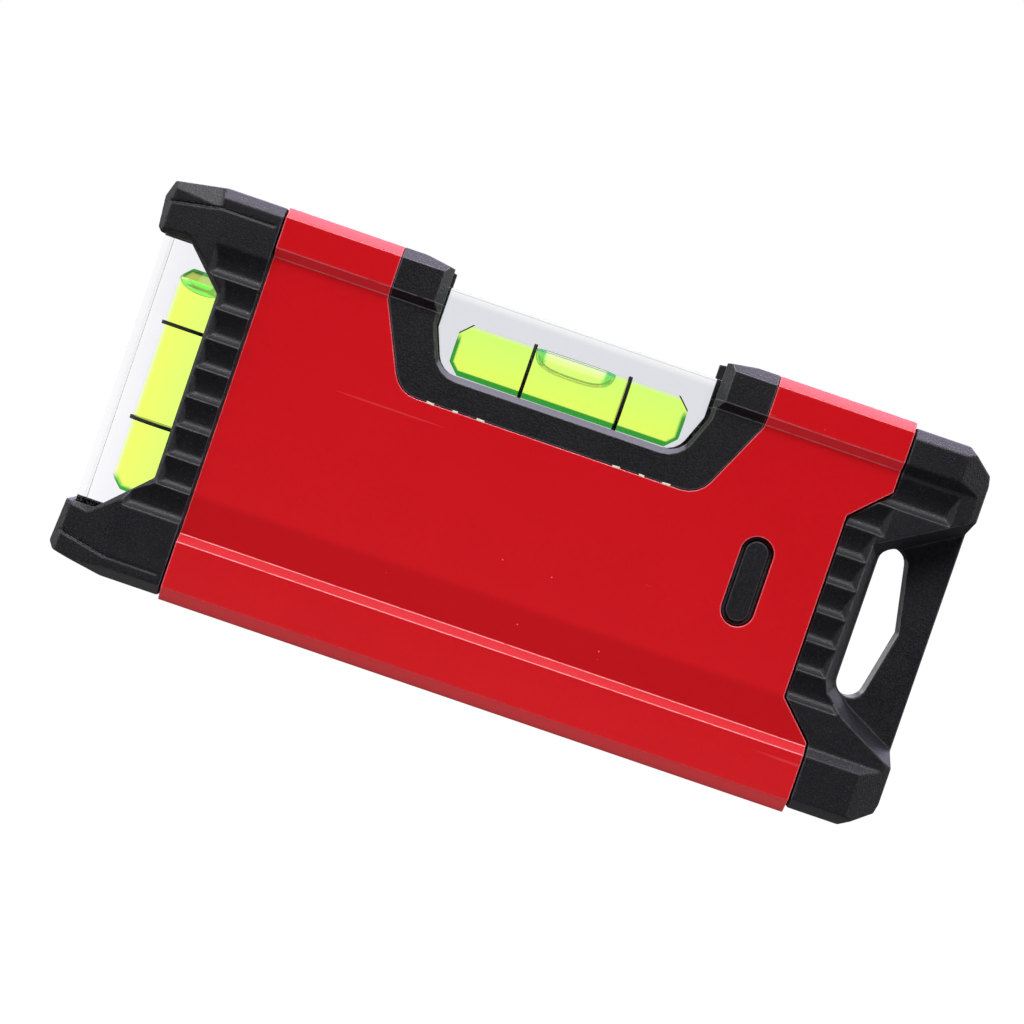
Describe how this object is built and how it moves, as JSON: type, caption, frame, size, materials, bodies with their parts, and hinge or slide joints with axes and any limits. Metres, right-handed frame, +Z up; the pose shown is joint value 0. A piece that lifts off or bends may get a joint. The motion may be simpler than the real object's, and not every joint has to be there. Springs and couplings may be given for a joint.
{
  "type": "spirit level",
  "caption": "Compact box-section spirit level with a level vial, a plumb vial, grip end caps and a hanging hole.",
  "frame": {"origin": "centre of the base face, at half the overall length", "axes": "+X along the length towards the hanging hole, +Y through the thickness away from the reading face, +Z up from the base"},
  "size_m": [0.15, 0.025, 0.071],
  "materials": {
    "red_coat": "gloss red powder coat on extruded aluminium",
    "cap_plastic": "fine spark-eroded grain",
    "bezel_plastic": "fine spark-eroded grain",
    "acrylic": "clear polished acrylic",
    "fluid": "clear yellow-green vial fluid",
    "bubble_air": "clear air bubble",
    "line_ink": "matt black line",
    "inner_plastic": "plain moulded",
    "seat_foam": "adhesive strip",
    "screw_steel": "zinc plated",
    "magnet_nickel": "nickel plated"
  },
  "bodies": {
    "level": {"box_body": "red_coat", "plumb_end_cap": "cap_plastic", "hang_end_cap": "cap_plastic", "lock_key": "cap_plastic", "front_vial_bezel": "bezel_plastic", "rear_vial_bezel": "bezel_plastic", "level_vial_seat": "seat_foam", "level_vial_block": "acrylic", "level_vial_plug": "acrylic", "level_vial_fluid": "fluid", "level_vial_marks": "line_ink", "plumb_vial_retainer": "inner_plastic", "retainer_screws": "screw_steel", "plumb_vial_block": "acrylic", "plumb_vial_plug": "acrylic", "plumb_vial_fluid": "fluid", "plumb_vial_marks": "line_ink", "base_magnets": "magnet_nickel", "magnet_tray": "inner_plastic"},
    "level_bubble": {"level_vial_bubble": "bubble_air"},
    "plumb_bubble": {"plumb_vial_bubble": "bubble_air"}
  },
  "joints": [
    {"name": "level_bubble_drift", "type": "slide", "parent": "level", "child": "level_bubble", "axis": [1, 0, 0], "range_m": [-0.0118, 0.0118]},
    {"name": "plumb_bubble_drift", "type": "slide", "parent": "level", "child": "plumb_bubble", "axis": [0, 0, 1], "range_m": [-0.036, 0]}
  ]
}
